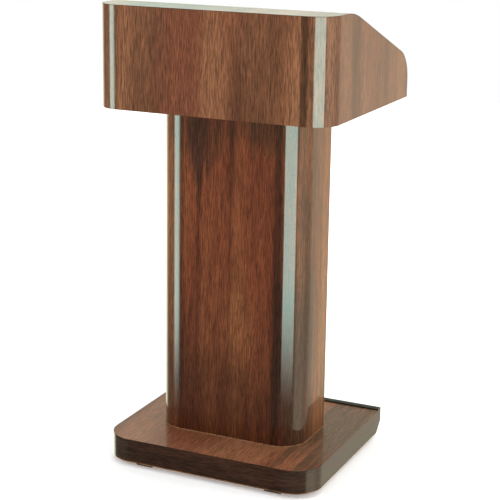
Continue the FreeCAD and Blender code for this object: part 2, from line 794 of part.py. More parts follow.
def screw_pattern(name, length):
    """Pan-head wood screw: underside of the head at 0, point along +Z."""
    pattern = new_pattern(name)
    turn(pattern, [
        (ZERO, -dim.screw_head),
        (dim.screw_head_radius, -dim.screw_head, dim.screw_dome),
        (dim.screw_head_radius, ZERO),
        (dim.screw_radius, ZERO),
        (dim.screw_radius, length - dim.screw_tip),
        (ZERO, length),
    ])
    return pattern


def bolt_pattern():
    """Hexagon bolt: underside of the head at 0, shank along +Z."""
    pattern = new_pattern("BoltPattern")
    corners = []
    for step in range(BOLT_HEAD_SIDES):
        angle = as_size(360 * step / BOLT_HEAD_SIDES)
        corners.append((dim.bolt_head_radius * cosine(angle), dim.bolt_head_radius * sine(angle)))
    pad(pattern, "XY_Plane", -dim.bolt_head, dim.bolt_head, corners)
    sketch = new_sketch(pattern, "XY_Plane", ZERO)
    draw_circles(sketch, [(ZERO, ZERO)], dim.bolt_radius)
    shank = pattern.newObject("PartDesign::Pad", "Shank")
    shank.Profile = sketch
    bind(shank, "Length", dim.bolt_length)
    return pattern


def ring_pattern(name, outer, inner, thickness):
    """Flat ring on the XY plane, standing up by its thickness."""
    pattern = new_pattern(name)
    turn(pattern, [(inner, ZERO), (outer, ZERO), (outer, thickness), (inner, thickness)])
    return pattern


def group(label, pattern, places, axis, angle):
    """Copies of a pattern as separate solids of one node."""
    copies = []
    for x, y, z in places:
        copy = doc.addObject("App::Link", "Copy")
        copy.LinkedObject = pattern
        place(copy, x, y, z, axis, angle)
        copies.append(copy)
    compound = doc.addObject("Part::Compound", label)
    compound.Label = label
    compound.Links = copies
    nodes.append(compound)


def make_fasteners():
    bolt = bolt_pattern()
    washer = ring_pattern("WasherPattern", dim.washer_radius, dim.washer_hole, dim.washer_thick)
    insert = ring_pattern("InsertPattern", dim.insert_radius, dim.insert_bore, dim.insert_length)
    short = screw_pattern("ShortScrewPattern", dim.short_screw)
    long = screw_pattern("LongScrewPattern", dim.long_screw)

    def at_level(level):
        return [(x, y, level) for x, y in column_bolt_centres()]

    floor_top = head_bottom + dim.board
    group("head_bolt_washers", washer, at_level(floor_top), *UP)
    group("head_bolts", bolt, at_level(floor_top + dim.washer_thick), *DOWN)
    group("head_bolt_inserts", insert, at_level(head_bottom - dim.insert_length), *UP)
    group("base_bolt_washers", washer, at_level(deck_bottom - dim.washer_thick), *UP)
    group("base_bolts", bolt, at_level(deck_bottom - dim.washer_thick), *UP)
    group("base_bolt_inserts", insert, at_level(base_top), *UP)

    rear = [(x, column_rear, z) for x, z in rear_screw_places()]
    group("rear_panel_screws", long, rear, *TO_FRONT)

    feet = [(x, y, dim.foot_counterbore) for _, sign in sides() for x, y in foot_screw_centres(sign)]
    group("foot_screws", long, feet, *UP)

    plate_bottom = deck_bottom - dim.bracket_metal
    brackets = [(x, y, plate_bottom) for _, sign in sides() for x, y in bracket_screw_centres(sign)]
    group("bracket_screws", short, brackets, *UP)

    along_slope = Vector(-1, 0, 0)
    cleat_middle = head_inside - dim.cleat_width / 2
    cleats = [(cleat_middle * sign, *desk_point(along, reading_bottom - dim.cleat_drop))
              for _, sign in sides() for along in cleat_screw_places()]
    group("reading_surface_screws", long, cleats, along_slope, dim.desk_slope)

    stop_height = reading_bottom + dim.reading_board / 2
    stops = [(x, *desk_point(reading_end + dim.board, stop_height)) for x in stop_screw_sides()]
    group("book_stop_screws", long, stops, along_slope, dim.desk_slope - 90)


# ---------------------------------------------------------------------------
# Build, check and write
# ---------------------------------------------------------------------------
def check_document():
    doc.recompute()
    for thing in doc.Objects:
        faults = {"Invalid", "Error"} & set(thing.State)
        if faults:
            raise RuntimeError(f"{thing.Label}: {sorted(faults)}")
    for node in nodes:
        if node.Shape.isNull() or not node.Shape.isValid():
            raise RuntimeError(f"{node.Label}: no valid shape")
        if not node.Shape.Solids:
            raise RuntimeError(f"{node.Label}: no solid")


def write_nodes():
    os.makedirs("parts", exist_ok=True)
    for node in nodes:
        node.Shape.exportStep(f"parts/{node.Label}.step")
        box = node.Shape.BoundBox
        print(f"{node.Label:26s} {len(node.Shape.Solids):2d} solid(s)"
              f"  x {box.XMin:8.2f} {box.XMax:8.2f}  y {box.YMin:8.2f} {box.YMax:8.2f}"
              f"  z {box.ZMin:8.2f} {box.ZMax:8.2f}")


make_head_shell()
make_head_skins()
make_desk()
make_column()
make_base()
for side_name, side_sign in sides():
    make_foot(side_name, side_sign)
    make_bracket(side_name, side_sign)
    make_axle(side_name, side_sign)
    make_wheel(side_name, side_sign)
make_fasteners()
check_document()
write_nodes()
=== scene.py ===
"""Presentation lectern: the visual model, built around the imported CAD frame.

Metres, +Z up. -Y is the audience side, +Y the presenter's side, +X is right when looking along +Y.
Head, column and base are each one glossy walnut board bent round two front corners.
"""

import math

import bmesh
import bpy
from mathutils import Matrix, Vector


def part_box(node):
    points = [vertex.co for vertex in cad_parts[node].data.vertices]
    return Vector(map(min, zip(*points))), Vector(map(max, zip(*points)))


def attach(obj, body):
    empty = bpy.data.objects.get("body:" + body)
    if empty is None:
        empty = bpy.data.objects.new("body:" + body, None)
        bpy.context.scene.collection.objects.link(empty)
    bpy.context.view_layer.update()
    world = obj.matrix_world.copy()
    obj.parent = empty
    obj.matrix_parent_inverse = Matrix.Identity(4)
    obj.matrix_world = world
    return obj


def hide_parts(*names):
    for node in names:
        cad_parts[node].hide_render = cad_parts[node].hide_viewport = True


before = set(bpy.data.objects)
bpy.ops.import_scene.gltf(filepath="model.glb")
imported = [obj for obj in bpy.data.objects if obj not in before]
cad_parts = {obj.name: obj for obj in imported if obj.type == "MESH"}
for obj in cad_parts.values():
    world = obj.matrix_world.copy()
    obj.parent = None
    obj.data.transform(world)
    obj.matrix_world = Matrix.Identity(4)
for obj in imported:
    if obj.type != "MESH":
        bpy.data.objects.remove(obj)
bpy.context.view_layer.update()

# ---------- Driving dimensions, in metres ----------
MM = 0.001

# Thickness of the boards and of the laminate sheets
BOARD = 19 * MM
SKIN = 1.2 * MM

# Outer radius of each bend, and the 45 degree cut under the rear edge of the base
HEAD_CORNER = 63.5 * MM
COLUMN_CORNER = 73 * MM
BASE_CORNER = 76 * MM
BASE_RELIEF = 29 * MM

# Desk: flat strip, slope behind it, and the radii at the start and at the rear of the slope
FLAT_DEPTH = 147 * MM
DESK_SLOPE = math.radians(20.3)
TOP_BLEND = 250 * MM
REAR_BLEND = 87 * MM

# Book ledge
STOP_ROUND = 6 * MM
STOP_HEIGHT = 42 * MM

# Pan-head screws
SCREW_HEAD_RADIUS = 4 * MM
SCREW_HEAD_HEIGHT = 2.4 * MM
SCREW_DOME = 1.2 * MM
SCREW_SHANK = 2 * MM
SCREW_TIP = 3 * MM

# How finely round shapes are divided
CORNER_STEPS = 24
BLEND_STEPS = 20
CIRCLE_STEPS = 96
SCREW_STEPS = 32
DOME_STEPS = 6

QUARTER = math.pi / 2
X, Y, Z = 0, 1, 2

# Edges sharper than this are eased; faces closer than this to one plane are joined
SHARP_EDGE = math.radians(30)
SAME_PLANE = math.radians(0.5)

# Points this close are one: before the edges of a CAD node are eased, and when its solids are told apart
WELD_GAP = 0.01 * MM
SOLID_GAP = 0.001 * MM

SIDES = ("left", "right")

head_low, head_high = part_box("head_wrap")
laminate_low, laminate_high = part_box("head_top_laminate")
band_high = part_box("head_edge_band_right")[1]
column_low, column_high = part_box("column_wrap")
base_low, base_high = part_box("base_apron")

head_top = laminate_high.z
head_rear = band_high.y


# ---------- Meshes ----------
def new_piece(name, points, faces):
    """A smooth-shaded mesh object from points and faces, its normals outwards."""
    mesh = bpy.data.meshes.new(name)
    mesh.from_pydata([tuple(p) for p in points], [], faces)
    work = bmesh.new()
    work.from_mesh(mesh)
    bmesh.ops.recalc_face_normals(work, faces=work.faces)
    for face in work.faces:
        face.smooth = True
    work.to_mesh(mesh)
    work.free()
    piece = bpy.data.objects.new(name, mesh)
    bpy.context.scene.collection.objects.link(piece)
    return piece


def loft(name, rings, closed=False):
    """Skin a row of rings that have the same number of points; an open row gets end caps."""
    count = len(rings[0])
    points = [point for ring in rings for point in ring]
    faces = []
    spans = len(rings) if closed else len(rings) - 1
    for i in range(spans):
        here = i * count
        there = (i + 1) % len(rings) * count
        for k in range(count):
            following = (k + 1) % count
            faces.append((here + k, here + following, there + following, there + k))
    if not closed:
        faces.append(tuple(range(count)))
        faces.append(tuple(range(len(points) - count, len(points))))
    return new_piece(name, points, faces)


def rounded(corners, steps):
    """The outline through corners (across, up, radius), each corner rounded by its radius."""
    points = []
    for i, (across, up, radius) in enumerate(corners):
        corner = Vector((across, up))
        if radius == 0:
            points.append(corner)
            continue
        before = Vector(corners[i - 1][:2])
        after = Vector(corners[(i + 1) % len(corners)][:2])
        back = (before - corner).normalized()
        ahead = (after - corner).normalized()
        half = back.angle(ahead) / 2
        centre = corner + (back + ahead).normalized() * (radius / math.sin(half))
        start = corner + back * (radius / math.tan(half)) - centre
        turn = math.pi - 2 * half
        if back.x * ahead.y - back.y * ahead.x > 0:
            turn = -turn
        for k in range(steps + 1):
            points.append(centre + Matrix.Rotation(turn * k / steps, 2) @ start)
    return points


def height_at(outline, y):
    """Height of an outline of (y, z) points, front to rear, at y."""
    for near, far in zip(outline, outline[1:]):
        if far.x > near.x and near.x <= y <= far.x:
            return near.y + (far.y - near.y) * (y - near.x) / (far.x - near.x)
    return outline[-1].y


def ring_about_x(name, centre, section):
    """A closed section of (radius, x) points turned about an axis along X."""
    rings = []
    for k in range(CIRCLE_STEPS):
        angle = 2 * math.pi * k / CIRCLE_STEPS
        outward = Vector((0, math.cos(angle), math.sin(angle)))
        rings.append([centre + outward * radius + Vector((x, 0, 0)) for radius, x in section])
    return loft(name, rings, closed=True)


def ease(piece, width, segments=2):
    """Round the sharp edges and keep broad faces shaded flat."""
    bevel = piece.modifiers.new("edges", "BEVEL")
    bevel.width = width
    bevel.segments = segments
    bevel.limit_method = "ANGLE"
    bevel.angle_limit = SHARP_EDGE
    normals = piece.modifiers.new("normals", "WEIGHTED_NORMAL")
    normals.keep_sharp = False
    return piece


def combine(piece, tool, operation):
    """Boolean of a piece with a tool, which is used up."""
    step = piece.modifiers.new("combine", "BOOLEAN")
    step.operation = operation
    step.solver = "EXACT"
    step.object = tool
    graph = bpy.context.evaluated_depsgraph_get()
    result = bpy.data.meshes.new_from_object(piece.evaluated_get(graph))
    piece.modifiers.remove(step)
    piece.data = result
    bpy.data.objects.remove(tool)


def stand_for(piece, body, slot, material, *nodes):
    """Finish a piece: its material, the body it rides on and the CAD nodes it stands for."""
    piece.data.materials.clear()
    piece.data.materials.append(material)
    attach(piece, body)
    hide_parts(*nodes)


def dress(node, material, edge=0.0):
    """Keep a CAD node and give it a material and, if edge is set, eased edges."""
    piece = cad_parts[node]
    piece.data.materials.clear()
    piece.data.materials.append(material)
    if edge:
        weld = piece.modifiers.new("weld", "WELD")
        weld.merge_threshold = WELD_GAP
        flat = piece.modifiers.new("flat", "DECIMATE")
        flat.decimate_type = "DISSOLVE"
        flat.angle_limit = SAME_PLANE
        ease(piece, edge)


# ---------- Shader graphs ----------
# Sockets of the Mix node that carry colours
MIX_A, MIX_B, MIX_RESULT = 6, 7, 2


def linear(red, green, blue):
    """A colour given as display values from 0 to 255, as the linear colour that shaders take."""
    def channel(value):
        value /= 255
        return value / 12.92 if value <= 0.04045 else ((value + 0.055) / 1.055) ** 2.4
    return (channel(red), channel(green), channel(blue), 1.0)


class Graph:
    """Nodes added one call at a time; an input is a value or another node's output."""

    def __init__(self, tree):
        self.tree = tree
        tree.nodes.clear()

    def add(self, kind, inputs, output=0, **settings):
        """Add a node of a kind, with its inputs and settings, and return one of its outputs."""
        node = self.tree.nodes.new("ShaderNode" + kind)
        for name, value in settings.items():
            setattr(node, name, value)
        for key, value in inputs.items():
            self.feed(node.inputs[key], value)
        return node.outputs[output]

    def feed(self, socket, value):
        """Link an output to a socket, or set the socket to a value."""
        if isinstance(value, bpy.types.NodeSocket):
            self.tree.links.new(value, socket)
        else:
            socket.default_value = value

    def math(self, operation, first, second=0.0):
        return self.add("Math", {0: first, 1: second}, operation=operation)

    def spread(self, value, low, high, to_low=0.0, to_high=1.0):
        """Smooth step of value from low..high to to_low..to_high."""
        inputs = {"Value": value, "From Min": low, "From Max": high, "To Min": to_low, "To Max": to_high}
        return self.add("MapRange", inputs, interpolation_type="SMOOTHSTEP")

    def mix(self, factor, first, second, blend="MIX"):
        inputs = {0: factor, MIX_A: first, MIX_B: second}
        return self.add("Mix", inputs, MIX_RESULT, data_type="RGBA", blend_type=blend)

    def ramp(self, factor, stops):
        """Colour ramp; a stop is (position, colour)."""
        node = self.tree.nodes.new("ShaderNodeValToRGB")
        while len(node.color_ramp.elements) < len(stops):
            node.color_ramp.elements.new(1.0)
        for element, (position, colour) in zip(node.color_ramp.elements, stops):
            element.position = position
            element.color = colour
        self.feed(node.inputs[0], factor)
        return node.outputs[0]

    def noise(self, point, scale, detail=2.0, roughness=0.5, output="Fac"):
        inputs = {"Vector": point, "Scale": scale, "Detail": detail, "Roughness": roughness}
        return self.add("TexNoise", inputs, output)

    def scaled(self, point, scale, offset=(0, 0, 0), turn=(0, 0, 0)):
        """Coordinates multiplied by scale for each axis, turned and then moved by offset."""
        inputs = {"Vector": point, "Location": offset, "Rotation": turn, "Scale": scale}
        return self.add("Mapping", inputs)


class Finish(Graph):
    """A material: one Principled surface whose sockets are set by name."""

    def __init__(self, name):
        self.material = bpy.data.materials.new(name)
        self.material.use_nodes = True
        super().__init__(self.material.node_tree)
        self.surface = self.tree.nodes.new("ShaderNodeBsdfPrincipled")
        output = self.tree.nodes.new("ShaderNodeOutputMaterial")
        self.tree.links.new(self.surface.outputs[0], output.inputs[0])
        self.point = self.add("TexCoord", {}, "Object")

    def set(self, **sockets):
        """Set sockets; Base_Color stands for Base Color."""
        for name, value in sockets.items():
            self.feed(self.surface.inputs[name.replace("_", " ")], value)
        return self.material

    def along(self, axis):
        """Object coordinate along an axis."""
        return self.add("SeparateXYZ", {0: self.point}, axis)

    def bump(self, height, strength, distance):
        inputs = {"Height": height, "Strength": strength, "Distance": distance}
        self.feed(self.surface.inputs["Normal"], self.add("Bump", inputs))


# ---------- Materials ----------
# Which axes lie across the grain; the others run along it
GRAIN_UP = (1, 1, 0)
GRAIN_ROUND = (0, 0, 1)
GRAIN_BACK = (1, 0, 0)
GRAIN_SIDEWAYS = (0, 1, 1)

# Turns drawn-out noise away from the faces, so that its regular cells don't line up with them
OFF_LATTICE = (0.6, 0.4, 0.9)

BLACK = (0.0, 0.0, 0.0, 1.0)

# How far the grain lines wander sideways, and the middle value of the noise that moves them
DRIFT = 30 * MM
NOISE_MIDDLE = (0.5, 0.5, 0.5)

# Clear lacquer: weight on flat faces, its roughness, and the roughness of the wood under it
FLAT_COAT = 0.26
COAT_ROUGHNESS = 0.035
WOOD_ROUGHNESS = 0.34


class Wood(Finish):
    """Wood in layers: tone, red areas and veins, then fibres and pores under the polish.

    across is one of the GRAIN values; tones are dark, middle, light and red.
    """

    def __init__(self, name, across, tones, seed, veins):
        super().__init__(name)
        self.across = across
        self.seed = seed
        self.dark, middle, light, red = tones
        self.path = self.wander()
        tone = self.layer(scale=7, stretch=9, detail=3, roughness=0.55)
        self.colour = self.ramp(tone, [(0.32, self.dark), (0.5, middle), (0.68, light)])
        hue = self.layer(scale=4, stretch=4, detail=2, roughness=0.5, shift=3.7)
        self.colour = self.mix(self.spread(hue, 0.48, 0.64, 0, 0.6), self.colour, red)
        self.vein = self.layer(scale=42, stretch=60, detail=4, roughness=0.6, shift=1.3)
        self.colour = self.mix(self.spread(self.vein, 0.5, 0.7, 0, veins), self.colour, self.dark)
        streak = self.layer(scale=13, stretch=30, detail=3, roughness=0.6, shift=5.1)
        self.shade(self.spread(streak, 0.56, 0.74, 1, 0.6))

    def wander(self):
        """Coordinates that let the grain lines drift a little sideways."""
        drift = self.noise(self.stretched(self.point, 5), scale=3.5, output="Color")
        drift = self.add("VectorMath", {0: drift, 1: NOISE_MIDDLE}, operation="SUBTRACT")
        drift = self.add("VectorMath", {0: drift, "Scale": DRIFT}, operation="SCALE")
        return self.add("VectorMath", {0: self.point, 1: drift}, operation="ADD")

    def drawn_out(self, stretch):
        """Scale for each axis that draws a pattern out along the grain."""
        return [1.0 if across else 1.0 / stretch for across in self.across]

    def stretched(self, point, stretch, shift=0.0):
        """Coordinates drawn out along the grain, at a place of their own for each seed and shift."""
        offset = (self.seed + shift, self.seed * 0.7 - shift, self.seed * 0.3)
        return self.scaled(point, self.drawn_out(stretch), offset, OFF_LATTICE)

    def layer(self, scale, stretch, detail, roughness, shift=0.0):
        """Noise drawn out along the grain."""
        return self.noise(self.stretched(self.path, stretch, shift), scale, detail, roughness)

    def shade(self, value):
        """Multiply the colour by a grey value."""
        grey = self.add("CombineColor", {0: value, 1: value, 2: value})
        self.colour = self.mix(1.0, self.colour, grey, "MULTIPLY")

    def arches(self, heart, stretch, strength):
        """Cathedral figure: growth rings cut at a shallow angle and drawn out along the grain."""
        scale = self.drawn_out(stretch)
        centre = [-h * s for h, s in zip(heart, scale)]
        inputs = {
            "Vector": self.scaled(self.path, scale, centre),
            "Scale": 26.0,
            "Distortion": 2.0,
            "Detail": 2.0,
            "Detail Scale": 2.0,
            "Detail Roughness": 0.5,
        }
        wave = self.add("TexWave", inputs, "Fac", wave_type="RINGS", rings_direction="SPHERICAL")
        self.colour = self.mix(self.spread(wave, 0.45, 1.0, 0, strength), self.colour, self.dark)

    def patch(self, centre, reach, tone, strength):
        """An area of another tone that fades out in streaks."""
        away = self.add("VectorMath", {0: self.path, 1: centre}, operation="SUBTRACT")
        away = self.add("VectorMath", {0: away, 1: reach}, operation="DIVIDE")
        distance = self.add("VectorMath", {0: away}, "Value", operation="LENGTH")
        streaky = self.math("ADD", distance, self.spread(self.vein, 0.35, 0.65, 0.35, -0.35))
        self.colour = self.mix(self.spread(streaky, 0.4, 1.1, strength, 0), self.colour, tone)

    def off_middle(self):
        """Distance from the middle plane of the lectern."""
        return self.math("ABSOLUTE", self.along(X))

    def paint_bend_shade(self, place, width, strength):
        """Painted shade: the colour is made darker in an upright band at x = place, where a bend starts.
        """
        away = self.math("ABSOLUTE", self.math("SUBTRACT", self.along(X), place))
        self.colour = self.mix(self.spread(away, width * 0.3, width, strength, 0), self.colour, BLACK)

    def bends(self, half, front, radius):
        """1 on the front half of each bend, falling to 0 on the flat faces."""
        start = half - radius
        blur = 5 * MM
        past_front = self.spread(self.off_middle(), start - blur, start + blur)
        before_side = self.spread(self.along(Y), front + radius * 0.35, front + radius * 0.85, 1, 0)
        return self.math("MULTIPLY", past_front, before_side)

    def paint_side_light(self, half, gain):
        """Painted light: the colour is made paler on the sides, at half from the middle, for the light
        and sheen they catch.
        """
        start = half - 55 * MM
        full = half - 8 * MM
        factor = self.spread(self.off_middle(), start, full)
        self.colour = self.mix(factor, self.colour, gain, "MULTIPLY")

    def wear_edge(self, level, reach, tone):
        """The veneer is rubbed through in places along its lower edge, at height level."""
        near = self.spread(self.along(Z), level + reach * 0.5, level + reach, 1, 0)
        rubbed = self.spread(self.noise(self.point, 60, 3), 0.35, 0.6, 0.5, 0.95)
        self.colour = self.mix(self.math("MULTIPLY", near, rubbed), self.colour, tone)

    def polish(self, roughness, coat, coat_roughness):
        """Fibres and pores under a clear coat; coat is its weight."""
        fibre = self.layer(scale=520, stretch=20, detail=2, roughness=0.7)
        self.shade(self.spread(fibre, 0.3, 0.7, 0.5, 1.5))
        pore = self.layer(scale=760, stretch=16, detail=1, roughness=0.5, shift=2.2)
        pore = self.spread(pore, 0.6, 0.7)
        colour = self.mix(self.math("MULTIPLY", pore, 0.5), self.colour, BLACK)
        self.bump(self.math("SUBTRACT", self.math("MULTIPLY", fibre, 0.5), pore), 0.2, 0.2 * MM)
        rough = self.spread(fibre, 0.3, 0.7, roughness, roughness + 0.14)
        return self.set(Base_Color=colour, Roughness=rough, IOR=1.45, Specular_IOR_Level=0.08,
                        Coat_Weight=coat, Coat_Roughness=coat_roughness, Coat_IOR=1.5)


def bent_walnut(veneer, low, high, radius):
    """Lacquer, full on the bends; thin on the flats, where it would mirror a whole soft box."""
    coat = veneer.spread(veneer.bends(high.x, low.y, radius), 0, 1, FLAT_COAT, 1)
    return veneer.polish(WOOD_ROUGHNESS, coat, COAT_ROUGHNESS)


def head_walnut():
    """Mid brown, redder in the middle, with a band of painted shade at each bend, most at the right."""
    tones = (linear(78, 45, 30), linear(109, 67, 46), linear(127, 83, 58), linear(100, 55, 38))
    veneer = Wood("head_walnut", GRAIN_UP, tones, seed=2.0, veins=0.3)
    veneer.arches(heart=(0.06, -0.2, 0.55), stretch=9, strength=0.2)
    middle = (-0.06, head_low.y, 1.04)
    veneer.patch(middle, (0.07, 0.3, 0.3), linear(92, 46, 31), strength=0.55)
    flat = head_high.x - HEAD_CORNER
    # Painted shade: dark upright bands at both bends, strongest at the right
    veneer.paint_bend_shade(flat - 4 * MM, 13 * MM, strength=0.65)
    veneer.paint_bend_shade(-flat - 2 * MM, 12 * MM, strength=0.2)
    return bent_walnut(veneer, head_low, head_high, HEAD_CORNER)


def column_walnut():
    """Darker brown, with dark areas near its top and foot, painted shade at the bends, painted light on
    the sides and a worn lower edge.
    """
    tones = (linear(46, 22, 14), linear(96, 50, 30), linear(120, 72, 43), linear(100, 46, 27))
    veneer = Wood("column_walnut", GRAIN_UP, tones, seed=7.0, veins=0.55)
    veneer.arches(heart=(0.02, -0.1, -2.5), stretch=20, strength=0.15)
    top_left = (-0.09, column_low.y, 0.88)
    top_right = (0.09, column_low.y, 0.93)
    foot = (0.0, column_low.y, 0.14)
    veneer.patch(top_left, (0.06, 0.2, 0.14), linear(38, 24, 20), strength=0.7)
    veneer.patch(top_right, (0.08, 0.2, 0.10), linear(52, 36, 26), strength=0.5)
    veneer.patch(foot, (0.3, 0.4, 0.22), linear(48, 22, 15), strength=0.4)
    flat = column_high.x - COLUMN_CORNER
    # Painted shade: dark upright bands at both bends
    veneer.paint_bend_shade(flat + 8 * MM, 16 * MM, strength=0.55)
    veneer.paint_bend_shade(-flat - 2 * MM, 14 * MM, strength=0.4)
    # Painted light: the column's sides made paler
    veneer.paint_side_light(column_high.x, gain=(1.6, 2.2, 2.0, 1.0))
    veneer.wear_edge(column_low.z, 3.5 * MM, linear(176, 126, 92))
    return bent_walnut(veneer, column_low, column_high, COLUMN_CORNER)


def base_walnut():
    """Darkest of the three, with the grain running round it, worn along its lower edge."""
    tones = (linear(26, 16, 12), linear(56, 34, 24), linear(76, 49, 34), linear(60, 34, 23))
    veneer = Wood("base_walnut", GRAIN_ROUND, tones, seed=4.0, veins=0.6)
    veneer.wear_edge(base_low.z, 4 * MM, linear(140, 94, 62))
    return bent_walnut(veneer, base_low, base_high, BASE_CORNER)


def top_walnut(name, across, seed):
    """Veneer of a laminate sheet, with painted shade on the right of the base top, dark on faces that
    don't look upwards, where its core shows.
    """
    tones = (linear(84, 46, 34), linear(130, 82, 60), linear(152, 104, 76), linear(124, 72, 52))
    veneer = Wood(name, across, tones, seed, veins=0.35)
    # Painted shade: a grey-brown patch darkens the right of the base top, where more light falls
    base_right_shade = (base_high.x * 0.85, 0.05, base_high.z)
    veneer.patch(base_right_shade, (0.15, 0.35, 0.3), linear(80, 62, 48), strength=0.8)
    normal = veneer.add("TexCoord", {}, "Normal")
    upwards = veneer.add("SeparateXYZ", {0: normal}, Z)
    core = veneer.spread(upwards, 0.3, 0.8, 0.85, 0)
    veneer.colour = veneer.mix(core, veneer.colour, linear(38, 16, 10))
    return veneer.polish(WOOD_ROUGHNESS, FLAT_COAT, COAT_ROUGHNESS)


def inner_walnut():
    """Satin melamine with a walnut print, on the boards inside."""
    tones = (linear(62, 38, 26), linear(104, 68, 46), linear(128, 88, 60), linear(98, 58, 38))
    veneer = Wood("inner_walnut", GRAIN_SIDEWAYS, tones, seed=9.0, veins=0.4)
    return veneer.polish(roughness=0.42, coat=0.15, coat_roughness=0.3)


def edge_tape():
    """Dark edge banding with fine lines along it."""
    tape = Finish("edge_tape")
    lines = tape.noise(tape.scaled(tape.point, (1, 0.03, 0.03)), 900, 3, 0.6)
    patches = tape.noise(tape.point, 22, 3)
    colour = tape.ramp(lines, [(0.3, linear(30, 15, 11)), (0.7, linear(74, 40, 27))])
    colour = tape.mix(tape.spread(patches, 0.45, 0.65, 0, 0.4), colour, linear(44, 22, 15))
    tape.bump(lines, 0.15, 0.1 * MM)
    rough = tape.spread(patches, 0.3, 0.7, 0.36, 0.5)
    return tape.set(Base_Color=colour, Roughness=rough, Specular_IOR_Level=0.2)


def raw_pine(name, across):
    """Planed softwood, unfinished."""
    tones = (linear(176, 128, 78), linear(206, 166, 112), linear(222, 188, 138), linear(200, 150, 98))
    pine = Wood(name, across, tones, seed=11.0, veins=0.35)
    pine.arches(heart=(0.05, 0.02, 0.4), stretch=6, strength=0.5)
    return pine.polish(roughness=0.62, coat=0.0, coat_roughness=0.5)


def moulded(name, base, worn, speck, roughness, bump):
    """Moulded rubber or plastic: fine pebble grain, with paler and duller patches of dust."""
    skin = Finish(name)
    pebble = skin.noise(skin.point, speck, 2, 0.6)
    dust = skin.noise(skin.point, 38, 4, 0.65)
    colour = skin.ramp(pebble, [(0.3, base), (0.75, worn)])
    colour = skin.mix(skin.spread(dust, 0.5, 0.72, 0, 0.35), colour, worn)
    skin.bump(pebble, bump, 0.15 * MM)
    rough = skin.spread(dust, 0.3, 0.7, roughness, min(roughness + 0.22, 1.0))
    return skin.set(Base_Color=colour, Roughness=rough)


def plated(name, bright, dull, roughness):
    """Plated steel: clouded passivation, fine upright lines and a few dull spots."""
    metal = Finish(name)
    cloud = metal.noise(metal.point, 85, 4, 0.6)
    lines = metal.noise(metal.scaled(metal.point, (1, 1, 0.05)), 1800, 2, 0.6)
    spots = metal.spread(metal.noise(metal.point, 420, 1), 0.66, 0.74, 0, 0.5)
    colour = metal.ramp(cloud, [(0.3, dull), (0.7, bright)])
    colour = metal.mix(spots, colour, dull)
    metal.bump(lines, 0.2, 0.05 * MM)
    rough = metal.math("ADD", metal.spread(cloud, 0.3, 0.7, roughness + 0.14, roughness), spots)
    return metal.set(Base_Color=colour, Roughness=rough, Metallic=1.0)


head_veneer = head_walnut()
column_veneer = column_walnut()
base_veneer = base_walnut()
top_veneer = top_walnut("top_walnut", GRAIN_BACK, 5.0)
stop_veneer = top_walnut("stop_walnut", GRAIN_SIDEWAYS, 6.0)
inner_board = inner_walnut()
edge_band = edge_tape()
pine_up = raw_pine("raw_pine_up", GRAIN_UP)
pine_back = raw_pine("raw_pine_back", GRAIN_BACK)
pine_sideways = raw_pine("raw_pine_sideways", GRAIN_SIDEWAYS)
scuff_black = moulded("scuff_black", linear(8, 9, 9), linear(26, 28, 28),
                      speck=1500, roughness=0.3, bump=0.25)
foot_black = moulded("foot_black", linear(10, 10, 10), linear(32, 32, 32),
                     speck=1100, roughness=0.5, bump=0.35)
tyre_rubber = moulded("tyre_rubber", linear(26, 26, 27), linear(58, 57, 55),
                      speck=900, roughness=0.62, bump=0.4)
wheel_plastic = moulded("wheel_plastic", linear(92, 94, 96), linear(128, 129, 129),
                        speck=1300, roughness=0.38, bump=0.2)
zinc_steel = plated("zinc_steel", linear(206, 208, 204), linear(158, 160, 156), roughness=0.24)
screw_steel = plated("screw_steel", linear(188, 184, 172), linear(128, 122, 108), roughness=0.22)


# ---------- Bent boards: head, column and base ----------
def wrap_stations(half, front, radius, side_levels):
    """(outer point, inward direction) along a board bent round two front corners."""
    stations = [(Vector((-half, y)), Vector((1, 0))) for y in reversed(side_levels)]
    for sign in (-1, 1):
        centre = Vector((sign * (half - radius), front + radius))
        for k in range(CORNER_STEPS + 1):
            angle = QUARTER * k / CORNER_STEPS
            if sign < 0:
                outward = Vector((-math.cos(angle), -math.sin(angle)))
            else:
                outward = Vector((math.sin(angle), -math.cos(angle)))
            stations.append((centre + outward * radius, -outward))
    stations += [(Vector((half, y)), Vector((-1, 0))) for y in side_levels]
    return stations


def bent_board(name, stations, bottom, top):
    """A board of constant thickness along the stations; bottom and top give z at a y."""
    rings = []
    for outer, inward in stations:
        inner = outer + inward * BOARD
        rings.append([
            Vector((outer.x, outer.y, bottom(outer.y))),
            Vector((outer.x, outer.y, top(outer.y))),
            Vector((inner.x, inner.y, top(inner.y))),
            Vector((inner.x, inner.y, bottom(inner.y))),
        ])
    return loft(name, rings)


def nosed_slab(name, half, front, radius, rear_levels, bottom, top):
    """A sheet with two rounded front corners; bottom and top give z at a y."""
    rings = []
    for k in range(CORNER_STEPS + 1):
        angle = QUARTER * k / CORNER_STEPS
        rings.append((front + radius * (1 - math.cos(angle)), half - radius * (1 - math.sin(angle))))
    rings += [(y, half) for y in rear_levels]
    return loft(name, [
        [
            Vector((-width, y, bottom(y))),
            Vector((width, y, bottom(y))),
            Vector((width, y, top(y))),
            Vector((-width, y, top(y))),
        ]
        for y, width in rings
    ])


def desk_profile(inset):
    """Side profile of the desk as (y, z), front to rear edge, moved inwards by inset."""
    start = laminate_low.y + FLAT_DEPTH
    rear_corner = head_top - (head_rear - start) * math.tan(DESK_SLOPE)
    half_rear = (QUARTER - DESK_SLOPE) / 2
    upper = (start - inset * math.tan(DESK_SLOPE / 2), head_top - inset, TOP_BLEND - inset)
    lower = (head_rear - inset, rear_corner - inset * math.tan(half_rear), REAR_BLEND - inset)
    ends = ((laminate_low.y, head_top - inset, 0), (head_rear - inset, head_low.z, 0))
    return rounded([ends[0], upper, lower, ends[1]], BLEND_STEPS)


outer_profile = desk_profile(0.0)
under_skin = desk_profile(SKIN)


def constant(value):
    """The same height at every y."""
    return lambda y: value


